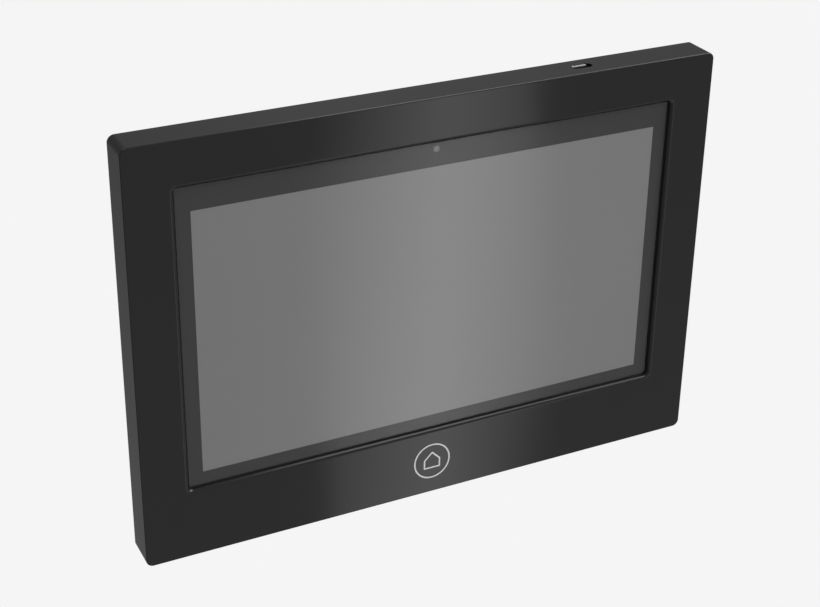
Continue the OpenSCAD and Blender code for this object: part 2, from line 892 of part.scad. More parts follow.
// Slots that let warm air out through the rear cover
module vents() {
    vent_l = 11;
    vent_w = 1.6;
    columns = 6;
    for (side = [-1, 1], i = [0:columns - 1])
        translate([(i - (columns - 1) / 2) * 15, side * (cavity_h / 2 - 15)]) stadium(vent_l, vent_w);
}

// Rear cover, open over the pocket for the wall plate
module rear_cover() {
    color("#333335") difference() {
        layer(cover_s, cover_t) rounded(cavity_w - 2 * loose, cavity_h - 2 * loose, corner_r - wall_t);
        layer(cover_s - past, cover_t + 2 * past) translate([0, pocket_z])
            rounded(pocket_w, pocket_h, plate_r);
        layer(cover_s - past, cover_t + 2 * past) vents();
        posts(cover_places, cover_s - past, cover_t + 2 * past, large_r + 0.15);
        posts(cover_places, cover_back - large_head_h, large_head_h + past, large_head_r + head_gap);
    }
}

// Outline of the room around each wall screw's head, grown by a wall
module screw_reliefs(wall) {
    for (p = wall_screw_places)
        translate([p[0], p[1] - lift / 2])
            square([2 * (relief_r + wall), 2 * (relief_r + wall) + lift], center = true);
}

// Steel pan behind the cover's pocket, which hangs on the wall plate's hooks
module hang_pan() {
    color("#8f9294") difference() {
        union() {
            layer(floor_s, cover_t)
                translate([0, pocket_z])
                    rounded(pocket_w + 2 * pan_rim, pocket_h + 2 * pan_rim, plate_r + pan_rim);
            layer(relief_s, floor_s - relief_s + weld) screw_reliefs(cover_t);
        }
        layer(relief_s + cover_t, floor_s - relief_s + past) screw_reliefs(0);
        layer(floor_s - past, cover_t + 2 * past)
            for (p = hook_places)
                translate([p[0] - hook_w / 2 - hook_side_gap, p[1] - plate_t - lift - hook_side_gap])
                    square([hook_w + 2 * hook_side_gap, plate_t + lift + hook_side_gap + hang_gap]);
        layer(floor_s - past, cover_t + 2 * past) translate([0, inlet_z]) rounded(inlet_w, inlet_h, inlet_r);
    }
}

module cover_screws() {
    color("#8f9194")
        screws(cover_places, cover_back - large_head_h, large_r, cover_screw_l, large_head_r, large_head_h);
}

// Steel plate that stays on the wall, with four hooks bent out of it
module wall_plate() {
    window_h = 8;
    color("#a2a5a8") {
        difference() {
            layer(plate_s, plate_t) difference() {
                rounded(plate_w, plate_h, plate_r);
                translate([0, cable_z]) rounded(cable_w, cable_h, 3);
                for (p = hook_places)
                    translate([p[0] - hook_w / 2, p[1] - plate_t - window_h]) square([hook_w, window_h]);
            }
            posts(wall_screw_places, plate_s - past, plate_t + 2 * past, screw_hole_r);
        }
        for (p = hook_places) {
            layer(lip_s, plate_s - lip_s + weld)
                translate([p[0] - hook_w / 2, p[1] - plate_t]) square([hook_w, plate_t]);
            layer(lip_s, plate_t)
                translate([p[0] - hook_w / 2, p[1] - plate_t]) square([hook_w, plate_t + lip_h]);
        }
    }
}

// Soft pads on the wall plate that keep the display from rattling
module plate_pads() {
    pad_t = 0.8;
    pad_w = 24;
    pad_h = 5;
    color("#1b1b1b")
        for (sx = [-1, 1], sz = [-1, 1])
            layer(plate_s - pad_t, pad_t) translate([sx * 24, sz * (plate_h / 2 - 6)])
                square([pad_w, pad_h], center = true);
}

front_frame();
frame_posts();
front_mark();
glass_gasket();
cover_glass();
border_print();
bond_film();
touch_sensor();
lcd_gasket();
lcd_cell();
diffuser_sheet();
light_guide();
reflector_sheet();
led_strip();
backlight_tray();
chassis();
chassis_screws();
board_standoffs();
mainboard();
board_screws();
processor();
memory_chips();
radio_shield();
power_parts();
board_connectors();
power_socket();
heat_pad();
heat_spreader();
display_flex();
touch_flex();
camera_flex();
switch_flex();
speaker_leads();
antenna_leads();
camera_board();
camera_barrel();
camera_lens();
speaker_left();
speaker_right();
speaker_gasket_left();
speaker_gasket_right();
mic_board();
microphone();
antenna_left();
antenna_right();
switch_board();
switch_case();
switch_screws();
switch_knob();
rear_cover();
hang_pan();
cover_screws();
wall_plate();
plate_pads();
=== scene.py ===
"""Studio scene of a wall-hung smart display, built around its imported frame.

Metres, X to the right, Z up, and the screen faces -Y.
"""

import json
import math

import bmesh
import bpy
import numpy as np
from mathutils import Matrix, Vector

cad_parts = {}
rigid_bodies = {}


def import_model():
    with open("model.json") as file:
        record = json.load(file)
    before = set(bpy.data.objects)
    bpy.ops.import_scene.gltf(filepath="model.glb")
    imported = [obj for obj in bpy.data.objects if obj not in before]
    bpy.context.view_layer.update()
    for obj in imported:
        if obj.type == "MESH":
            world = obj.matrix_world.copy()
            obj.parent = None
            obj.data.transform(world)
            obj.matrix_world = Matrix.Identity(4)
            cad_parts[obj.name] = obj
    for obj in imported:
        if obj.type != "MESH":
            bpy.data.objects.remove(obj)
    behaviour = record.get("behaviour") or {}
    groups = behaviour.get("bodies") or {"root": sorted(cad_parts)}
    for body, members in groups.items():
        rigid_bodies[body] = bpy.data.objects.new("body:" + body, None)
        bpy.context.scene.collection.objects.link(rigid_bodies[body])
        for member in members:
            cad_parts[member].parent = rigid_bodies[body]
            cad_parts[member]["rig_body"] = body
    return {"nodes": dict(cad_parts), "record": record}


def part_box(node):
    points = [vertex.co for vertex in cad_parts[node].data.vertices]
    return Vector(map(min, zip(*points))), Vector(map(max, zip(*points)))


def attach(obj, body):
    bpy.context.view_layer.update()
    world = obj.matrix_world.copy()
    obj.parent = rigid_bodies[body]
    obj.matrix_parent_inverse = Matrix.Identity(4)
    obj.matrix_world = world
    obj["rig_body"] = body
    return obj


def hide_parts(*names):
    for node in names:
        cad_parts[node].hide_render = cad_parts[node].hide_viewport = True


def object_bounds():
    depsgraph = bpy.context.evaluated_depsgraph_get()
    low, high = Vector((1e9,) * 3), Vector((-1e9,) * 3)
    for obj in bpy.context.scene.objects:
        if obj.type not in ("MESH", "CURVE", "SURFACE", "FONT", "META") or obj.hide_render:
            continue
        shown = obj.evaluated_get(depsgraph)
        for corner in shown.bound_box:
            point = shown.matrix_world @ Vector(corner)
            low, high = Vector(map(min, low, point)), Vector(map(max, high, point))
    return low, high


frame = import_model()
CAD_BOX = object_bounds()
NODES = frame["nodes"]
SLOTS = {part["node"]: part["material_slot"] for part in frame["record"]["subparts"]}
MM = 0.001
TURN = 2 * math.pi


# ---------------------------------------------------------------- shader maths


class Value:
    """A number on its way through a node tree. Python's operators on it add Math nodes."""

    def __init__(self, tree, socket):
        self.tree, self.socket = tree, socket

    def _math(self, operation, *operands):
        return self.tree.node("ShaderNodeMath", {"operation": operation}, dict(enumerate(operands)))

    def __add__(self, other):
        return self._math("ADD", self, other)

    def __radd__(self, other):
        return self._math("ADD", other, self)

    def __sub__(self, other):
        return self._math("SUBTRACT", self, other)

    def __rsub__(self, other):
        return self._math("SUBTRACT", other, self)

    def __mul__(self, other):
        return self._math("MULTIPLY", self, other)

    def __rmul__(self, other):
        return self._math("MULTIPLY", other, self)

    def __truediv__(self, other):
        return self._math("DIVIDE", self, other)

    def __neg__(self):
        return self._math("MULTIPLY", self, -1)

    def __gt__(self, other):
        return self._math("GREATER_THAN", self, other)

    def __lt__(self, other):
        return self._math("LESS_THAN", self, other)

    def abs(self):
        return self._math("ABSOLUTE", self)

    def fract(self):
        return self._math("FRACT", self)

    def most(self, other):
        return self._math("MAXIMUM", self, other)

    def least(self, other):
        return self._math("MINIMUM", self, other)

    def power(self, other):
        return self._math("POWER", self, other)

    def sine(self):
        return self._math("SINE", self)

    def band(self, pitch, share):
        """1 in stripes that repeat every pitch and take that share of it, else 0."""
        return (self / pitch).fract() < share

    def ramp(self, slope):
        """The value times slope, kept between 0 and 1."""
        return (self * slope).most(0).least(1)


class Tree:
    """Node tree of a material or a light, with one method that makes every node."""

    def __init__(self, owner):
        owner.use_nodes = True
        self.nodes, self.links = owner.node_tree.nodes, owner.node_tree.links
        self.nodes.clear()

    def node(self, kind, settings=None, sockets=None, out=0):
        """Makes a node, sets its settings and then its sockets, by name or number, and returns the output asked for."""
        made = self.nodes.new(kind)
        for key, value in (settings or {}).items():
            setattr(made, key, value)
        for key, value in (sockets or {}).items():
            if isinstance(value, Value):
                self.links.new(value.socket, made.inputs[key])
            else:
                made.inputs[key].default_value = value
        return Value(self, made.outputs[out]) if made.outputs else None

    def place(self, stretch=(1, 1, 1)):
        """Object coordinates, scaled along each axis."""
        where = self.node("ShaderNodeTexCoord", out="Object")
        if stretch == (1, 1, 1):
            return where
        return self.node("ShaderNodeMapping", None, {"Vector": where, "Scale": stretch})

    def axis(self, letter, vector=None):
        """One coordinate of a vector, or of Object coordinates where none is given."""
        return self.node("ShaderNodeSeparateXYZ", None, {0: vector or self.place()}, out=letter)

    def noise(self, size, detail=2.0, stretch=(1, 1, 1), rough=0.5):
        """Cloudy noise from 0 to 1 whose blobs are about that size in metres."""
        return self.node(
            "ShaderNodeTexNoise",
            {"noise_dimensions": "3D"},
            {"Vector": self.place(stretch), "Scale": 1 / size, "Detail": detail, "Roughness": rough},
        )

    def cells(self, size, feature="F1", out="Distance"):
        """Voronoi cells about that size in metres."""
        return self.node(
            "ShaderNodeTexVoronoi", {"feature": feature}, {"Vector": self.place(), "Scale": 1 / size}, out=out
        )

    def tint(self, share, first, second):
        """Colour mix. A colour is three numbers or a link."""
        colour = lambda c: c if isinstance(c, Value) else (*c, 1)
        return self.node("ShaderNodeMix", {"data_type": "RGBA"}, {0: share, 6: colour(first), 7: colour(second)}, out=2)

    def bump(self, height, depth):
        """Normal of a surface whose height in metres is height times depth."""
        return self.node("ShaderNodeBump", None, {"Height": height, "Distance": depth, "Strength": 1.0})


def finish(name, make, **constants):
    """A material. make(tree) returns what changes over its surface; constants are set on the shader's own sockets."""
    material = bpy.data.materials.new(name)
    tree = Tree(material)
    changing = make(tree)
    shader = tree.node("ShaderNodeBsdfPrincipled", None, {**constants, **changing})
    tree.node("ShaderNodeOutputMaterial", None, {"Surface": shader})
    return material


def shade(colour, gain):
    return tuple(c * gain for c in colour)


def middle_of(node):
    low, high = (np.array(corner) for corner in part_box(node))
    return (low + high) / 2


# ---------------------------------------------------------------- finishes


def moulded(name, colour, rough, grain=0.5 * MM, depth=2e-6):
    """Moulded plastic: slow flow clouds in its colour, a fine spark-eroded grain and uneven gloss."""

    def make(t):
        flow = t.noise(38 * MM, 3)
        skin = t.noise(grain, 2)
        haze = t.noise(9 * MM, 4)
        return {
            "Base Color": t.tint(flow, shade(colour, 0.95), shade(colour, 1.05)),
            "Roughness": rough + (haze - 0.5) * 0.05 + (skin - 0.5) * 0.04,
            "Normal": t.bump(skin, depth),
        }

    return finish(name, make, IOR=1.5)


def mark_with_painted_glow(name, colour, glow):
    """White inlay that glows faintly as painted light, with a slightly cloudy colour and glow."""

    def make(t):
        cloud = t.noise(3 * MM, 2)
        skin = t.noise(0.3 * MM, 2)
        return {
            "Base Color": t.tint(cloud, shade(colour, 0.98), shade(colour, 1.02)),
            "Emission Color": t.tint(cloud, shade(colour, 0.96), shade(colour, 1.04)),
            "Roughness": 0.45 + (skin - 0.5) * 0.04,
            "Normal": t.bump(skin, 1e-6),
        }

    # The emission is a painted glow that brightens the mark.
    return finish(name, make, **{"IOR": 1.5, "Emission Strength": glow})


def rolled(name, colour, rough, along=(1, 14, 14)):
    """Sheet metal with rolling lines along one axis and a cloudy sheen."""

    def make(t):
        lines = t.noise(1.6 * MM, 4, along, 0.6)
        cloud = t.noise(24 * MM, 3)
        return {
            "Base Color": t.tint(cloud, shade(colour, 0.9), shade(colour, 1.08)),
            "Roughness": rough + (lines - 0.5) * 0.16 + (cloud - 0.5) * 0.06,
            "Normal": t.bump(lines, 2e-6),
        }

    return finish(name, make, Metallic=1.0)


def galvanised(name, colour, rough):
    """Zinc-plated sheet: crystals of slightly different brightness and gloss, under faint rolling lines."""
    crystal_size = 5 * MM

    def make(t):
        crystal = t.node("ShaderNodeSeparateColor", None, {0: t.cells(crystal_size, out="Color")}, out=0)
        seam = (t.cells(crystal_size, "DISTANCE_TO_EDGE") * 9).least(1)
        lines = t.noise(1.2 * MM, 3, (1, 12, 12))
        lit = t.tint(crystal, shade(colour, 0.95), shade(colour, 1.05))
        return {
            "Base Color": t.tint(seam, shade(colour, 0.97), lit),
            "Roughness": rough + (crystal - 0.5) * 0.07 + (lines - 0.5) * 0.1,
            "Normal": t.bump(lines + crystal * 0.5, 2.5e-6),
        }

    return finish(name, make, Metallic=1.0)


def turned(name, colour, rough):
    """Plated screw or turned insert: fine tool marks and small dull spots."""

    def make(t):
        marks = t.noise(0.25 * MM, 3)
        spots = t.noise(1.2 * MM, 2)
        return {
            "Base Color": t.tint(spots, shade(colour, 0.8), shade(colour, 1.1)),
            "Roughness": rough + (marks - 0.5) * 0.2 + (spots - 0.5) * 0.1,
            "Normal": t.bump(marks, 3e-6),
        }

    return finish(name, make, Metallic=1.0)


def foam(name, colour, pore=0.45 * MM):
    """Closed-cell foam: round cells whose colour follows their bump as painted light and shade, lighter on each raised
    middle and darker in the low ground between them.
    """

    def make(t):
        pores = t.cells(pore)
        return {
            # Painted shade: the colour darkens where the bump is low.
            "Base Color": t.tint((pores * 1.4).least(1), shade(colour, 1.5), shade(colour, 0.6)),
            "Roughness": 0.82 + pores * 0.15,
            "Normal": t.bump(1 - pores, 3e-5),
        }

    return finish(name, make)


def circuit(name, mask):
    """Printed board: copper tracks under a green mask, run across in some places and up in others, and tinned vias."""
    track_pitch, track_share, via_pitch = 0.9 * MM, 0.5, 2.6 * MM
    via_hole, via_edge, tin = 0.07, 0.17, (0.55, 0.5, 0.42)

    def make(t):
        across, up = t.axis("X"), t.axis("Z")
        way = t.noise(9 * MM, 0) > 0.5
        rows, columns = up.band(track_pitch, track_share), across.band(track_pitch, track_share)
        tracks = way * rows + (1 - way) * columns
        via = t.cells(via_pitch)
        ring = (via < via_edge) * (via > via_hole)
        weave = t.noise(0.5 * MM, 2, (1, 1, 5))
        green = t.tint(tracks, shade(mask, 0.62), shade(mask, 1.35))
        return {
            "Base Color": t.tint(ring, green, tin),
            "Metallic": ring * 0.9,
            "Roughness": 0.36 + (weave - 0.5) * 0.2 - ring * 0.1,
            "Normal": t.bump(tracks + ring * 0.6 + weave * 0.3, 1.8e-5),
        }

    return finish(name, make, IOR=1.5)


def flexible(name, colour):
    """Polyimide ribbon: copper lines along it show through an amber film."""
    line_pitch, line_share, copper = 0.5 * MM, 0.55, (0.62, 0.3, 0.12)

    def make(t):
        line = t.axis("X").band(line_pitch, line_share)
        film = t.noise(6 * MM, 3)
        return {
            "Base Color": t.tint(film * 0.35, t.tint(line, shade(colour, 0.7), copper), shade(colour, 1.3)),
            "Metallic": line * 0.35,
            "Roughness": 0.3 + (film - 0.5) * 0.16,
            "Normal": t.bump(line, 1.2e-5),
        }

    return finish(name, make, IOR=1.6)


def epoxy(name, colour):
    """Moulded chip: sandy skin with shallow pits."""

    def make(t):
        sand = t.noise(0.16 * MM, 3)
        pits = t.cells(0.9 * MM)
        return {
            "Base Color": t.tint(sand, shade(colour, 0.75), shade(colour, 1.4)),
            "Roughness": 0.55 + (sand - 0.5) * 0.2,
            "Normal": t.bump(sand + (pits < 0.1) * 0.6, 1.2e-5),
        }

    return finish(name, make, IOR=1.5)


def sheet(name, colour, rough, depth=4e-6, clearness=0.0):
    """Optical or paper-like sheet: even, with a soft fibre in its gloss."""

    def make(t):
        fibre = t.noise(0.8 * MM, 4, (1, 1, 3))
        cloud = t.noise(30 * MM, 2)
        return {
            "Base Color": t.tint(cloud, shade(colour, 0.97), shade(colour, 1.03)),
            "Roughness": rough + (fibre - 0.5) * 0.12,
            "Normal": t.bump(fibre, depth),
        }

    return finish(name, make, **{"Transmission Weight": clearness})


def unlit_panel(name, colour):
    """Switched-off screen: a neutral grey whose dots are just darker between their rows and columns."""
    dot, gap_share = 0.174 * MM, 0.12

    def make(t):
        gap = t.axis("X").band(dot, gap_share).most(t.axis("Z").band(dot, gap_share))
        cloud = t.noise(60 * MM, 2)
        grey = t.tint(cloud, shade(colour, 0.985), shade(colour, 1.015))
        return {
            "Base Color": t.tint(gap, grey, shade(colour, 0.9)),
            "Roughness": 0.2 + (cloud - 0.5) * 0.04,
        }

    return finish(name, make, IOR=1.45)


def printed_border(name, colour):
    """Ceramic ink fired behind the glass: even, with a very fine screen-print grain."""

    def make(t):
        grain = t.noise(0.3 * MM, 2)
        cloud = t.noise(45 * MM, 2)
        tone = t.tint(cloud, shade(colour, 0.97), shade(colour, 1.03))
        return {
            "Base Color": t.tint(grain * 0.2, tone, shade(colour, 1.2)),
            "Roughness": 0.25 + (grain - 0.5) * 0.06,
        }

    return finish(name, make, IOR=1.25)


def clear_glass(name, clearness, index):
    """Cover glass: a thin clean pane that mirrors by Fresnel and shows what is behind it.

    The mirror's own index is so high that it reflects nearly all of what the Fresnel share gives it.
    """
    mirror_index = 30.0
    material = bpy.data.materials.new(name)
    t = Tree(material)
    rough = 0.1 + (t.noise(16 * MM, 4) - 0.5) * 0.02
    gloss = t.node(
        "ShaderNodeBsdfPrincipled",
        None,
        {"Base Color": (0.0, 0.0, 0.0, 1), "Metallic": 0.0, "Roughness": rough, "IOR": mirror_index},
    )
    clear = t.node("ShaderNodeBsdfTransparent", None, {"Color": (clearness, clearness, clearness, 1)})
    mirror = t.node("ShaderNodeFresnel", None, {"IOR": index})
    outside = 1 - t.node("ShaderNodeNewGeometry", out="Backfacing")
    mixed = t.node("ShaderNodeMixShader", None, {0: mirror * outside, 1: clear, 2: gloss})
    t.node("ShaderNodeOutputMaterial", None, {"Surface": mixed})
    return material


def slide_bar(name, colour):
    """Satin metal bar, a little brighter where fingers rub it; below its top, down in the slot, it is painted
    near-black and matte as painted shade.
    """
    bar_height, slot_shade_black = 0.4 * MM, (0.006, 0.006, 0.006)
    shade_line_z = float(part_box("switch_knob")[1][2]) - bar_height

    def make(t):
        beads = t.noise(0.12 * MM, 2)
        rub = t.noise(2.5 * MM, 2)
        # Painted shade: below its top the bar is near-black and matte, as the slot's shade.
        in_slot_shade = t.axis("Z") < shade_line_z
        metal = t.tint(rub, shade(colour, 0.92), shade(colour, 1.08))
        return {
            "Base Color": t.tint(in_slot_shade, metal, slot_shade_black),
            "Metallic": (1 - in_slot_shade) * 0.85,
            "Roughness": 0.45 + (beads - 0.5) * 0.2 + in_slot_shade * 0.2,
            "Normal": t.bump(beads, 4e-6),
        }

    return finish(name, make, IOR=1.45)


def lens_coating(name, colour):
    """Camera lens: neutral grey with faint coating rings and a darker iris in its middle."""
    iris_radius, ring_width = 0.5 * MM, 0.35 * MM
    middle = middle_of("camera_lens")

    def make(t):
        across, up = t.axis("X") - float(middle[0]), t.axis("Z") - float(middle[2])
        radius = (across * across + up * up).power(0.5)
        iris = radius < iris_radius
        ring = (radius * (1 / ring_width)).sine() * 0.5 + 0.5
        tone = t.tint(ring, colour, shade(colour, 7 / 6))
        return {
            "Base Color": t.tint(iris * 0.2, tone, (0.13, 0.13, 0.13)),
            "Roughness": 0.2 + ring * 0.1,
        }

    return finish(name, make, IOR=1.6)


def sleeve(name, colour):
    """Soft wire sleeve with a faint extrusion line."""

    def make(t):
        skin = t.noise(0.4 * MM, 3, (1, 1, 0.3))
        return {
            "Base Color": t.tint(skin, shade(colour, 0.8), shade(colour, 1.3)),
            "Roughness": 0.5 + (skin - 0.5) * 0.15,
            "Normal": t.bump(skin, 8e-6),
        }

    return finish(name, make)


# Maker of each finish, its slot, and the maker's other arguments: colour, roughness, grain size, depth
FINISHES = {
    slot: make(slot, *facts)
    for make, slot, *facts in (
        (moulded, "frame_plastic", (0.0205, 0.0205, 0.0207), 0.09, 0.5 * MM, 6e-7),
        (moulded, "cover_plastic", (0.016, 0.016, 0.0165), 0.5, 0.55 * MM, 1.6e-5),
        (mark_with_painted_glow, "mark_white", (0.9, 0.9, 0.9), 0.08),
        (foam, "black_foam", (0.008, 0.008, 0.008)),
        (clear_glass, "cover_glass", 0.987, 1.54),
        (printed_border, "border_ink", (0.068, 0.068, 0.068)),
        (unlit_panel, "optical_film", (0.35, 0.35, 0.35)),
        (unlit_panel, "lcd_cell", (0.12, 0.12, 0.12)),
        (sheet, "white_sheet", (0.82, 0.82, 0.81), 0.55),
        (sheet, "clear_acrylic", (0.72, 0.76, 0.77), 0.12, 2e-6, 0.6),
        (circuit, "led_board", (0.75, 0.73, 0.66)),
        (rolled, "tray_steel", (0.5, 0.51, 0.52), 0.34),
        (galvanised, "zinc_steel", (0.55, 0.56, 0.575), 0.4),
        (rolled, "pan_steel", (0.2, 0.202, 0.206), 0.42),
        (turned, "screw_steel", (0.58, 0.59, 0.6), 0.3),
        (turned, "brass_insert", (0.72, 0.5, 0.2), 0.3),
        (circuit, "circuit_board", (0.02, 0.12, 0.055)),
        (epoxy, "chip_black", (0.02, 0.02, 0.021)),
        (rolled, "tin_shield", (0.66, 0.66, 0.65), 0.32, (10, 1, 1)),
        (epoxy, "ferrite", (0.06, 0.06, 0.065)),
        (moulded, "connector_plastic", (0.68, 0.63, 0.53), 0.5, 0.2 * MM),
        (moulded, "terminal_green", (0.03, 0.2, 0.09), 0.45, 0.25 * MM),
        (foam, "heat_pad", (0.3, 0.42, 0.5), 0.3 * MM),
        (rolled, "heat_spreader", (0.72, 0.73, 0.75), 0.3),
        (flexible, "flex_amber", (0.42, 0.2, 0.05)),
        (sleeve, "wire_black", (0.02, 0.02, 0.02)),
        (sleeve, "coax_grey", (0.13, 0.13, 0.14)),
        (lens_coating, "lens_glass", (0.18, 0.18, 0.18)),
        (moulded, "speaker_plastic", (0.015, 0.015, 0.016), 0.55, 0.35 * MM, 8e-6),
        (slide_bar, "knob_satin", (0.62, 0.62, 0.63)),
    )
}


# ---------------------------------------------------------------- meshes

# The pane is drawn without refraction, so its back and what lies behind it are raised instead
PANE_RAISE = 0.85 * MM
PRINT_GAP = 0.05 * MM


def add_piece(mesh, name, node):
    """Puts a new mesh in for a CAD node: same body, slot and finish."""
    piece = bpy.data.objects.new(name, mesh)
    bpy.context.scene.collection.objects.link(piece)
    mesh.materials.clear()
    mesh.materials.append(FINISHES[SLOTS[node]])
    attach(piece, NODES[node]["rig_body"])
    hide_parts(node)
    return piece


def merged(node):
    """bmesh copy of a node with its triangles joined and its flat areas made whole."""
    work = bmesh.new()
    work.from_mesh(NODES[node].data)
    bmesh.ops.remove_doubles(work, verts=work.verts, dist=2e-6)
    bmesh.ops.dissolve_degenerate(work, edges=work.edges, dist=1e-7)
    bmesh.ops.dissolve_limit(
        work, angle_limit=math.radians(0.4), verts=work.verts, edges=work.edges, use_dissolve_boundaries=False
    )
    return work


def mesh_of(work, name):
    """Writes a bmesh to a new mesh and frees it."""
    mesh = bpy.data.meshes.new(name)
    work.to_mesh(mesh)
    work.free()
    return mesh


def surface(name, points, faces, sharp):
    """Mesh whose faces are turned outwards, with all edges up to that many degrees smoothed."""
    mesh = bpy.data.meshes.new(name)
    mesh.from_pydata(points.tolist(), [], faces)
    work = bmesh.new()
    work.from_mesh(mesh)
    bmesh.ops.recalc_face_normals(work, faces=work.faces)
    for face in work.faces:
        face.smooth = True
    work.to_mesh(mesh)
    work.free()
    mesh.set_sharp_from_angle(angle=math.radians(sharp))
    return mesh


def eased(node, width, name, segments):
    """The node's own shape with every sharp edge rounded over by width, as a mould or a deburring wheel leaves it."""
    work = merged(node)
    for face in work.faces:
        face.smooth = True
    if node == "cover_glass":
        behind = max(vert.co.y for vert in work.verts) - 0.1 * MM
        for vert in work.verts:
            if vert.co.y > behind:
                vert.co.y -= PANE_RAISE
    piece = add_piece(mesh_of(work, name), name, node)
    soften = piece.modifiers.new("eased_edges", "BEVEL")
    soften.limit_method, soften.angle_limit = "ANGLE", math.radians(35)
    soften.width, soften.segments = width, segments
    soften.use_clamp_overlap, soften.miter_outer = True, "MITER_SHARP"
    piece.modifiers.new("even_normals", "WEIGHTED_NORMAL").keep_sharp = True


def drawn_up(node, name):
    """The node's own thin sheet, moved towards the eye by as much as the pane's refraction would raise it."""
    work = merged(node)
    bmesh.ops.translate(work, vec=(0, PRINT_GAP - PANE_RAISE, 0), verts=work.verts)
    add_piece(mesh_of(work, name), name, node)


def islands(node):
    """Lowest and highest corner of each separate solid in a node, in the order of their lowest corners."""
    work = merged(node)
    left, found = set(work.verts), []
    while left:
        reach, group = [left.pop()], []
        while reach:
            here = reach.pop()
            group.append(here.co[:])
            for edge in here.link_edges:
                there = edge.other_vert(here)
                if there in left:
                    left.discard(there)
                    reach.append(there)
        points = np.array(group)
        found.append((points.min(axis=0), points.max(axis=0)))
    work.free()
    return sorted(found, key=lambda corners: tuple(corners[0]))


def closed_grid(points):
    """Faces of a grid of rings whose first and last rings are shut by a point each. points is rings x around x 3."""
    rings, around, _ = points.shape
    verts = np.concatenate([points.reshape(-1, 3), points[:1].mean(axis=1), points[-1:].mean(axis=1)])
    i = np.arange(rings - 1)[:, None] * around
    j = np.arange(around)[None, :]
    k = (j + 1) % around
    quads = np.stack([i + j, i + k, i + around + k, i + around + j], axis=-1).reshape(-1, 4)
    first, last = rings * around, rings * around + 1
    j, k = j.ravel(), k.ravel()
    start = np.stack([np.full(around, first), k, j], axis=-1)
    base = (rings - 1) * around
    end = np.stack([np.full(around, last), base + j, base + k], axis=-1)
    return verts, quads.tolist() + start.tolist() + end.tolist()


def cross_screw(head_r, head_h, shank_r, length, pitch):
    """A pan-head screw along +Z with its head's top at 0, as a surface of revolution with two changes.

    The profile runs from the head's middle over its domed top, rim and underside, and down the shank to its cone.
    Head top: height = -dome * (r / head_r)^4, less a recess where a cross of arms 0.34 head_r wide lies within
    0.62 head_r, with sloping walls. Shank: r = shank_r - depth * |saw(z / pitch - angle / turn)|, a real helix.
    """
    around = 48
    angle = np.arange(around) * TURN / around
    ring = lambda values: np.repeat(values[:, None], around, axis=1)
    dome, thread_depth = head_h * 0.12, 0.16 * pitch
    r_top = ring(np.linspace(0.02, 0.985, 26) * head_r)
    x, y = r_top * np.cos(angle), r_top * np.sin(angle)
    arm, reach, deep = 0.17 * head_r, 0.62 * head_r, 0.55 * head_h
    across = np.minimum(np.abs(x), np.abs(y))
    side = np.clip((arm - across) / (0.06 * head_r), 0, 1)
    ends = np.clip((reach - r_top) / (0.1 * head_r), 0, 1)
    z_top = -dome * (r_top / head_r) ** 4 - deep * np.minimum(side, ends)
    rim = np.array([[1.0, 0.12], [1.0, 0.88], [0.97, 1.0]]) * [head_r, head_h]
    steps = max(int((length - 0.3 * MM) / (pitch / 6)), 8)
    z_shank = ring(-head_h - np.linspace(0.05 * MM, length - shank_r * 0.8, steps))
    phase = (z_shank / pitch - angle / TURN) % 1
    r_shank = shank_r - thread_depth * 2 * np.abs(phase - 0.5)
    tip_r = np.array([0.7, 0.15]) * shank_r
    tip_z = -head_h - length + np.array([0.35 * shank_r, 0.0])
    r = np.concatenate([r_top, ring(rim[:, 0]), r_shank, ring(tip_r)])
    z = np.concatenate([z_top, ring(-rim[:, 1]), z_shank, ring(tip_z)])
    return np.stack([r * np.cos(angle), r * np.sin(angle), z], axis=-1)


# For each way a screw's head can face: the axis that it lies along, and the turn that brings +Z to that way
HEAD_WAYS = {
    "+Y": (1, np.array([[1, 0, 0], [0, 0, 1], [0, -1, 0]], float)),
    "-Z": (2, np.array([[1, 0, 0], [0, -1, 0], [0, 0, -1]], float)),
}


def screw_set(node, name, shank_r, head_h, pitch, way):
    """Screws at a node's own places, with their heads facing that way."""
    verts, faces, count = [], [], 0
    along, turn = HEAD_WAYS[way]
    for low, high in islands(node):
        size, top = high - low, (low + high) / 2
        top[along] = (high if way[0] == "+" else low)[along]
        profile = cross_screw(size[0] / 2, head_h, shank_r, size[along] - head_h, pitch)
        points, polygons = closed_grid(profile)
        verts.append(points @ turn.T + top)
        faces += [[v + count for v in face] for face in polygons]
        count += len(points)
    add_piece(surface(name, np.concatenate(verts), faces, 50), name, node)


def camera_dome():
    """Lens as a lathe profile: a dome of height rise * (1 - (r / R)^2), a ground rim and a plain back."""
    middle, back = middle_of("camera_lens"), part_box("camera_lens")[1][1]
    radius, rise, around = 1.6 * MM, 0.025 * MM, 64
    proud = 0.01 * MM
    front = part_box("border_print")[0][1] - PANE_RAISE + PRINT_GAP - proud - rise
    share = np.linspace(0.03, 1, 14)
    r = np.concatenate([share, [1.0, 0.2]])[:, None] * radius
    y = np.concatenate([front + rise * share**2, [back, back]])[:, None]
    angle = np.arange(around) * TURN / around
    points = np.stack([r * np.cos(angle) + middle[0], np.repeat(y, around, 1), r * np.sin(angle) + middle[2]], axis=-1)
    add_piece(surface("camera_dome", *closed_grid(points), 40), "camera_dome", "camera_lens")


# ---------------------------------------------------------------- the object

for node, object_ in NODES.items():
    object_.data.materials.clear()
    object_.data.materials.append(FINISHES[SLOTS[node]])

drawn_up("border_print", "border_print_sheet")
drawn_up("bond_film", "screen_film")
camera_dome()

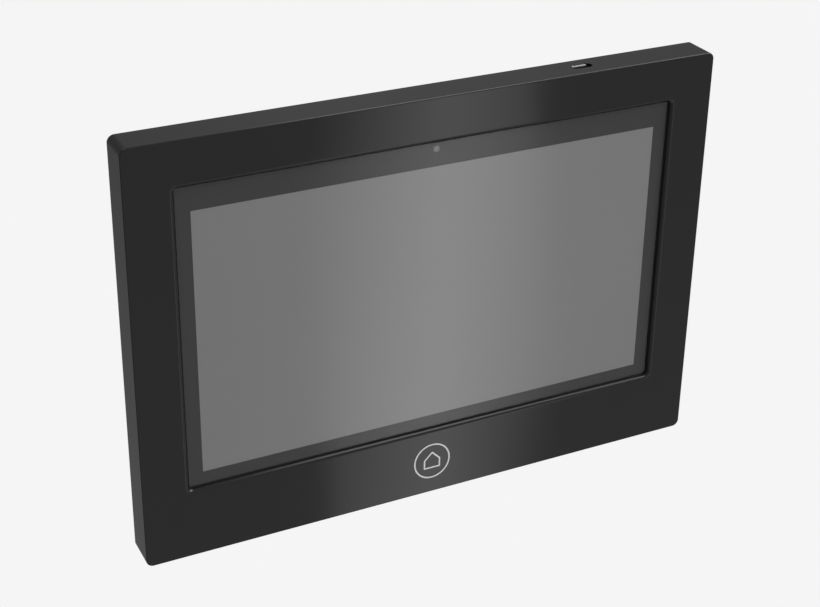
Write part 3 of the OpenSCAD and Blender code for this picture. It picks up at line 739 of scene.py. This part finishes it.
# Node, its piece, how far its edges are eased in millimetres, and in how many steps
for node, name, width, segments in (
    ("front_frame", "front_shell", 0.14, 2),
    ("cover_glass", "ground_glass", 0.18, 2),
    ("rear_cover", "rear_shell", 0.25, 2),
    ("hang_pan", "pressed_pan", 0.3, 2),
    ("wall_plate", "bent_wall_plate", 0.25, 2),
    ("switch_knob", "slide_knob", 0.14, 3),
    ("plate_pads", "felt_pads", 0.25, 2),
    ("power_socket", "wire_terminal", 0.2, 2),
    ("radio_shield", "radio_can", 0.12, 2),
    ("processor", "processor_chip", 0.12, 2),
    ("memory_chips", "memory_chip_pair", 0.1, 2),
    ("power_parts", "power_blocks", 0.15, 2),
    ("board_connectors", "board_plugs", 0.08, 2),
    ("speaker_left", "speaker_box_left", 0.5, 2),
    ("speaker_right", "speaker_box_right", 0.5, 2),
    ("mainboard", "main_circuit_board", 0.08, 1),
    ("chassis", "chassis_sheet", 0.12, 1),
):
    eased(node, width * MM, name, segments)

# Node, its piece, shank radius, head height and thread pitch in millimetres, and the way that the heads face
for node, name, shank_r, head_h, pitch, way in (
    ("cover_screws", "cover_screw_set", 0.95, 0.9, 0.6, "+Y"),
    ("chassis_screws", "chassis_screw_set", 0.95, 0.9, 0.6, "+Y"),
    ("board_screws", "board_screw_set", 0.75, 0.5, 0.45, "+Y"),
    ("switch_screws", "switch_screw_pair", 0.75, 0.5, 0.45, "-Z"),
):
    screw_set(node, name, shank_r * MM, head_h * MM, pitch * MM, way)


# ---------------------------------------------------------------- studio

CAMERA_AT = Vector((-0.305024, -0.603264, 0.352128))
FORWARD = Vector((0.40254, 0.80264, -0.44015))
UP = Vector((0.18276, 0.40068, 0.89781))

camera = bpy.data.objects.new("camera", bpy.data.cameras.new("camera"))
bpy.context.scene.collection.objects.link(camera)
bpy.context.scene.camera = camera
right = FORWARD.cross(UP).normalized()
over = right.cross(FORWARD).normalized()
camera.matrix_world = Matrix.Translation(CAMERA_AT) @ Matrix((right, over, -FORWARD.normalized())).transposed().to_4x4()
camera.data.sensor_width, camera.data.lens = 36, 73.48
camera.data.shift_x, camera.data.shift_y = -0.00585, -0.0665
camera.data.clip_start, camera.data.clip_end = 0.01, 50

# The streak hangs in a plane parallel to the front face, this far before it
STREAK_FAR = 0.9
FRONT_Y = CAD_BOX[0][1]
MIRRORED_EYE = Vector((CAMERA_AT.x, 2 * FRONT_Y - CAMERA_AT.y, CAMERA_AT.z))
MIRROR_GAIN = (MIRRORED_EYE.y - FRONT_Y + STREAK_FAR) / (MIRRORED_EYE.y - FRONT_Y)

# Part of the front face that the streak's gel covers, and where across it the streak is brightest
STREAK_W, STREAK_H, STREAK_X = 0.16, 0.26, 0.003


def softbox(name, at, towards, wide, high, glow, gel=None):
    """Area light of that radiance. gel(u, v) gives its brightness over its width and height."""
    lamp = bpy.data.lights.new(name, "AREA")
    lamp.shape, lamp.size, lamp.size_y = "RECTANGLE", wide, high
    lamp.energy = glow * wide * high * math.pi
    holder = bpy.data.objects.new(name, lamp)
    bpy.context.scene.collection.objects.link(holder)
    holder.location = at
    holder.rotation_mode = "QUATERNION"
    holder.rotation_quaternion = (Vector(towards) - Vector(at)).to_track_quat("-Z", "Y")
    if gel:
        t = Tree(lamp)
        place = t.node("ShaderNodeNewGeometry", out="Parametric")
        strength = gel(t.axis("X", place), t.axis("Y", place))
        glowing = t.node("ShaderNodeEmission", None, {"Strength": strength})
        t.node("ShaderNodeOutputLight", None, {"Surface": glowing})


def seen_in_front(x, z):
    """Where the eye, mirrored in the front face, looks through its point (x, z) to the streak's plane."""
    return Vector((
        MIRRORED_EYE.x + MIRROR_GAIN * (x - MIRRORED_EYE.x),
        FRONT_Y - STREAK_FAR,
        MIRRORED_EYE.z + MIRROR_GAIN * (z - MIRRORED_EYE.z),
    ))


def streak_gel(u, v):
    """A ridge of light whose left flank is wider low down and right flank higher up, each cut off by a barn door.

    x is millimetres across the front face, and lean is -1 to 1 up the opening. A flank falls evenly from 1 at x = 0 to
    0 at its reach, and a door's edge fades over 1 / door_fade millimetres.
    """
    opening_half, door_fade = 95, 0.2
    x = (u - 0.5) * (STREAK_W / MM)
    lean = (v - 0.5) * (STREAK_H / MM / opening_half)
    left_reach, right_reach = 75 - lean * 16, 72 + lean * 13
    ridge = (1 + x / left_reach).least(1 - x / right_reach).most(0)
    left_door = (x + 60 + lean * 3).ramp(door_fade)
    right_door = (58 - lean * 12 - x).ramp(door_fade)
    return ridge * left_door * right_door


def overhead_gel(u, v):
    """Dark at one side's very edge, then full, then about a third less over the other half."""
    return (u - 0.03).ramp(6) * (1 - ((u - 0.42) * 6).most(0).least(0.35))


def ridge_gel(u, v):
    """Brightest in the middle of its width and dark at both ends."""
    return 1 - (u * 2 - 1).abs()


middle = seen_in_front(STREAK_X, 0.0)
softbox(
    "streak", middle, middle + Vector((0, 1, 0)), STREAK_W * MIRROR_GAIN, STREAK_H * MIRROR_GAIN, 1.3, streak_gel
)
softbox("key", at=(3.2, -1.7, 1.9), towards=(0, 0, 0), wide=2.4, high=2.4, glow=4.6)
softbox("overhead", at=(0.6, 0.15, 1.0), towards=(0.6, 0.15, 0), wide=0.8, high=1.7, glow=2.5, gel=overhead_gel)
softbox("back", at=(-0.5, 1.6, 1.9), towards=(0, 0, 0), wide=1.0, high=1.0, glow=3.0)
softbox("rear_panel", at=(0.62, 1.45, 0.62), towards=(0, 0, 0.1), wide=1.1, high=0.5, glow=0.12, gel=ridge_gel)


def studio_air():
    """Even light from all round, a little stronger from the floor, from straight above and from in front."""
    even, from_floor, from_above, from_front, floor_starts = 0.18, 0.25, 0.03, 0.13, -0.37
    world = bpy.data.worlds.new("studio")
    bpy.context.scene.world = world
    t = Tree(world)
    way = t.node("ShaderNodeTexCoord", out="Generated")
    upwards, forwards = t.axis("Z", way), t.axis("Y", way)
    floor = (floor_starts - upwards).most(0) * from_floor
    strength = even + floor + upwards.most(0) * from_above + (-forwards).most(0) * from_front
    air = t.node("ShaderNodeBackground", None, {"Color": (1, 1, 1, 1), "Strength": strength})
    t.node("ShaderNodeOutputWorld", None, {"Surface": air})


def pale_stage():
    """Floor that curves up into a round backdrop: a lathe profile of a flat disc, a quarter arc and a dome."""
    floor_z, flat, bend, around = CAD_BOX[0][2] - 1.5, 4.0, 2.0, 64
    arc = np.linspace(0, math.pi / 2, 10)
    radius = np.concatenate([[0.5, 2.0], flat + bend * np.sin(arc), (flat + bend) * np.cos(arc[1:-1])])[:, None]
    height = np.concatenate([[0, 0], bend * (1 - np.cos(arc)), bend + (flat + bend) * np.sin(arc[1:-1])]) + floor_z
    angle = np.arange(around) * TURN / around
    points = np.stack(
        [radius * np.cos(angle), radius * np.sin(angle), np.repeat(height[:, None], around, 1)], axis=-1
    )
    verts, faces = closed_grid(points)
    mesh = bpy.data.meshes.new("pale_stage")
    mesh.from_pydata(verts.tolist(), [], faces)
    for polygon in mesh.polygons:
        polygon.use_smooth = True
    stage = bpy.data.objects.new("pale_stage", mesh)
    bpy.context.scene.collection.objects.link(stage)
    paint = bpy.data.materials.new("pale_stage")
    t = Tree(paint)
    tone = t.tint(t.noise(0.4, 2), (0.909, 0.909, 0.909), (0.917, 0.917, 0.917))
    t.node("ShaderNodeOutputMaterial", None, {"Surface": t.node("ShaderNodeEmission", None, {"Color": tone})})
    mesh.materials.append(paint)
    stage.visible_glossy = stage.visible_diffuse = stage.visible_shadow = stage.visible_transmission = False


studio_air()
bpy.context.scene.view_settings.view_transform = "Standard"
pale_stage()

bpy.context.view_layer.update()
